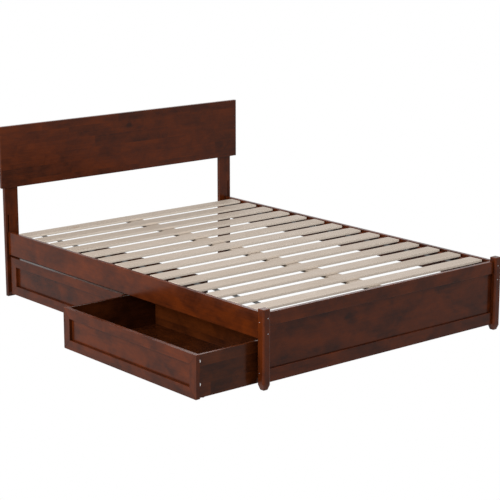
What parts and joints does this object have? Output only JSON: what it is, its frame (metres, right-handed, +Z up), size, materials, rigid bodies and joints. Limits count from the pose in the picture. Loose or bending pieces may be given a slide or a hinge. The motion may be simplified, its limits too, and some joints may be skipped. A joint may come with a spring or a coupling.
{
  "type": "platform bed with storage drawers",
  "caption": "Wooden platform bed: low headboard panel on flat posts, slatted deck for a mattress, and deep storage drawers on castors that roll out from under one side.",
  "frame": {"origin": "on the floor, at the middle of the box round the whole bed as stored, with the front drawer standing open", "axes": "+Z up; +Y from the foot of the bed to the headboard; +X to the right as seen from the foot, so the drawers open towards -X"},
  "size_m": [1.755, 1.9782, 0.852],
  "materials": {
    "walnut_stain": "red-brown stain under a satin clear coat",
    "drawer_wood": "red-brown stain, thinner satin coat",
    "slat_wood": "pale sanded wood, no coat",
    "webbing": "black woven webbing, matt",
    "steel": "bright zinc",
    "castor_plastic": "black moulded plastic, satin",
    "wheel_rubber": "dark grey rubber tread, matt"
  },
  "bodies": {
    "bed_frame": {"headboard_panel": "walnut_stain", "headboard_post_left": "walnut_stain", "headboard_post_right": "walnut_stain", "side_rail_left": "walnut_stain", "side_rail_right": "walnut_stain", "rail_hook_plate_left": "steel", "rail_hook_plate_right": "steel", "slat_cleat_left": "walnut_stain", "slat_cleat_right": "walnut_stain", "foot_post_left": "walnut_stain", "foot_post_right": "walnut_stain", "footboard_top_rail": "walnut_stain", "footboard_bottom_rail": "walnut_stain", "footboard_panel": "walnut_stain", "slat_01": "slat_wood", "slat_02": "slat_wood", "slat_03": "slat_wood", "slat_04": "slat_wood", "slat_05": "slat_wood", "slat_06": "slat_wood", "slat_07": "slat_wood", "slat_08": "slat_wood", "slat_09": "slat_wood", "slat_10": "slat_wood", "slat_11": "slat_wood", "slat_12": "slat_wood", "slat_13": "slat_wood", "slat_14": "slat_wood", "slat_centre_board": "slat_wood", "slat_strap_left": "webbing", "slat_strap_right": "webbing"},
    "front_drawer": {"front_drawer_front_frame": "walnut_stain", "front_drawer_front_panel": "walnut_stain", "front_drawer_foot_side": "drawer_wood", "front_drawer_head_side": "drawer_wood", "front_drawer_back": "drawer_wood", "front_drawer_bottom": "drawer_wood", "front_drawer_castor_front_foot": "castor_plastic", "front_drawer_castor_front_head": "castor_plastic", "front_drawer_castor_rear_foot": "castor_plastic", "front_drawer_castor_rear_head": "castor_plastic"},
    "front_drawer_wheel_front_foot": {"front_drawer_wheel_front_foot": "wheel_rubber"},
    "front_drawer_wheel_front_head": {"front_drawer_wheel_front_head": "wheel_rubber"},
    "front_drawer_wheel_rear_foot": {"front_drawer_wheel_rear_foot": "wheel_rubber"},
    "front_drawer_wheel_rear_head": {"front_drawer_wheel_rear_head": "wheel_rubber"},
    "back_drawer": {"back_drawer_front_frame": "walnut_stain", "back_drawer_front_panel": "walnut_stain", "back_drawer_foot_side": "drawer_wood", "back_drawer_head_side": "drawer_wood", "back_drawer_back": "drawer_wood", "back_drawer_bottom": "drawer_wood", "back_drawer_castor_front_foot": "castor_plastic", "back_drawer_castor_front_head": "castor_plastic", "back_drawer_castor_rear_foot": "castor_plastic", "back_drawer_castor_rear_head": "castor_plastic"},
    "back_drawer_wheel_front_foot": {"back_drawer_wheel_front_foot": "wheel_rubber"},
    "back_drawer_wheel_front_head": {"back_drawer_wheel_front_head": "wheel_rubber"},
    "back_drawer_wheel_rear_foot": {"back_drawer_wheel_rear_foot": "wheel_rubber"},
    "back_drawer_wheel_rear_head": {"back_drawer_wheel_rear_head": "wheel_rubber"}
  },
  "joints": [
    {"name": "front_drawer_slide", "type": "slide", "parent": "bed_frame", "child": "front_drawer", "axis": [-1, 0, 0], "range_m": [-0.318, 0.13]},
    {"name": "front_drawer_wheel_front_foot_spin", "type": "hinge", "parent": "front_drawer", "child": "front_drawer_wheel_front_foot", "pos_m": [-0.8075, -0.88515, 0.013], "axis": [0, 1, 0], "continuous": true},
    {"name": "front_drawer_wheel_front_head_spin", "type": "hinge", "parent": "front_drawer", "child": "front_drawer_wheel_front_head", "pos_m": [-0.8075, -0.043, 0.013], "axis": [0, 1, 0], "continuous": true},
    {"name": "front_drawer_wheel_rear_foot_spin", "type": "hinge", "parent": "front_drawer", "child": "front_drawer_wheel_rear_foot", "pos_m": [-0.4275, -0.88515, 0.013], "axis": [0, 1, 0], "continuous": true},
    {"name": "front_drawer_wheel_rear_head_spin", "type": "hinge", "parent": "front_drawer", "child": "front_drawer_wheel_rear_head", "pos_m": [-0.4275, -0.043, 0.013], "axis": [0, 1, 0], "continuous": true},
    {"name": "back_drawer_slide", "type": "slide", "parent": "bed_frame", "child": "back_drawer", "axis": [-1, 0, 0], "range_m": [0, 0.448]},
    {"name": "back_drawer_wheel_front_foot_spin", "type": "hinge", "parent": "back_drawer", "child": "back_drawer_wheel_front_foot", "pos_m": [-0.4895, 0.062, 0.013], "axis": [0, 1, 0], "continuous": true},
    {"name": "back_drawer_wheel_front_head_spin", "type": "hinge", "parent": "back_drawer", "child": "back_drawer_wheel_front_head", "pos_m": [-0.4895, 0.90415, 0.013], "axis": [0, 1, 0], "continuous": true},
    {"name": "back_drawer_wheel_rear_foot_spin", "type": "hinge", "parent": "back_drawer", "child": "back_drawer_wheel_rear_foot", "pos_m": [-0.1095, 0.062, 0.013], "axis": [0, 1, 0], "continuous": true},
    {"name": "back_drawer_wheel_rear_head_spin", "type": "hinge", "parent": "back_drawer", "child": "back_drawer_wheel_rear_head", "pos_m": [-0.1095, 0.90415, 0.013], "axis": [0, 1, 0], "continuous": true}
  ],
  "couplings": [
    {"joint": "front_drawer_wheel_front_foot_spin", "follows": "front_drawer_slide", "rad_per_m": -76.923},
    {"joint": "front_drawer_wheel_front_head_spin", "follows": "front_drawer_slide", "rad_per_m": -76.923},
    {"joint": "front_drawer_wheel_rear_foot_spin", "follows": "front_drawer_slide", "rad_per_m": -76.923},
    {"joint": "front_drawer_wheel_rear_head_spin", "follows": "front_drawer_slide", "rad_per_m": -76.923},
    {"joint": "back_drawer_wheel_front_foot_spin", "follows": "back_drawer_slide", "rad_per_m": -76.923},
    {"joint": "back_drawer_wheel_front_head_spin", "follows": "back_drawer_slide", "rad_per_m": -76.923},
    {"joint": "back_drawer_wheel_rear_foot_spin", "follows": "back_drawer_slide", "rad_per_m": -76.923},
    {"joint": "back_drawer_wheel_rear_head_spin", "follows": "back_drawer_slide", "rad_per_m": -76.923}
  ]
}
